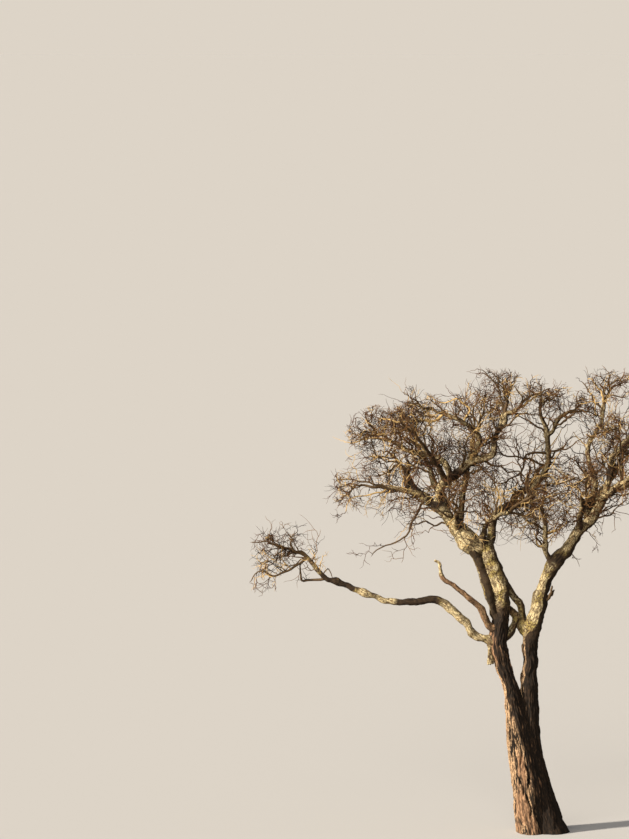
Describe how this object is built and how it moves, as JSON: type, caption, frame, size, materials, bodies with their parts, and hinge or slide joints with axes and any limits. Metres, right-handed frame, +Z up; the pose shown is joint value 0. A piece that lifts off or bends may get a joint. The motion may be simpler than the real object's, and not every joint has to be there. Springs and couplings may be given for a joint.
{
  "type": "bare savanna acacia tree",
  "caption": "Leafless old acacia: fused furrowed stems fork low into crooked pale boughs, a long low side bough and an open crown of tangled twigs.",
  "frame": {"origin": "middle of the flat cut under the trunk, at ground level", "axes": "+Z up; +X to the right as the tree is seen from its pictured side; +Y away from that side"},
  "size_m": [6.4709, 3.7744, 6.5624],
  "materials": {
    "furrowed_bark": "rough, deeply furrowed dark bark with bare weathered wood low on the left",
    "pale_limb_bark": "matt grey-cream bark with yellow-green lichen",
    "bare_twigs": "matt golden-brown bare twigs"
  },
  "bodies": {
    "root": {"trunk": "furrowed_bark", "left_stem": "furrowed_bark", "right_stem": "furrowed_bark", "back_left_bough": "pale_limb_bark", "back_mid_bough": "pale_limb_bark", "back_right_bough": "pale_limb_bark", "back_riser": "pale_limb_bark", "cross_brace": "pale_limb_bark", "cross_limb": "pale_limb_bark", "crown_fork": "pale_limb_bark", "crown_limb": "pale_limb_bark", "dead_spur": "pale_limb_bark", "fork_limb": "pale_limb_bark", "front_bough": "pale_limb_bark", "front_left_bough": "pale_limb_bark", "front_limb": "pale_limb_bark", "front_mid_bough": "pale_limb_bark", "front_right_bough": "pale_limb_bark", "front_upright": "pale_limb_bark", "inner_upright": "pale_limb_bark", "left_bough": "pale_limb_bark", "left_knot": "pale_limb_bark", "left_low": "pale_limb_bark", "left_riser": "pale_limb_bark", "left_side": "pale_limb_bark", "low_bough": "pale_limb_bark", "low_brace": "pale_limb_bark", "low_reach": "pale_limb_bark", "middle_bough": "pale_limb_bark", "middle_upright": "pale_limb_bark", "right_bough": "pale_limb_bark", "right_outer": "pale_limb_bark", "right_riser": "pale_limb_bark", "right_upright": "pale_limb_bark", "upper_left": "pale_limb_bark", "winding_bough": "pale_limb_bark", "back_left_twigs": "bare_twigs", "back_mid_twigs": "bare_twigs", "back_right_twigs": "bare_twigs", "back_top_twigs": "bare_twigs", "centre_heart_twigs": "bare_twigs", "far_left_high_twigs": "bare_twigs", "far_left_low_twigs": "bare_twigs", "far_left_mid_twigs": "bare_twigs", "far_right_high_twigs": "bare_twigs", "far_right_twigs": "bare_twigs", "fork_twigs": "bare_twigs", "front_centre_twigs": "bare_twigs", "front_heart_twigs": "bare_twigs", "front_left_twigs": "bare_twigs", "front_mid_twigs": "bare_twigs", "front_right_twigs": "bare_twigs", "left_top_twigs": "bare_twigs", "low_end_twigs": "bare_twigs", "middle_top_twigs": "bare_twigs", "peak_right_twigs": "bare_twigs", "peak_twigs": "bare_twigs", "right_inner_twigs": "bare_twigs", "right_top_twigs": "bare_twigs"}
  },
  "joints": []
}
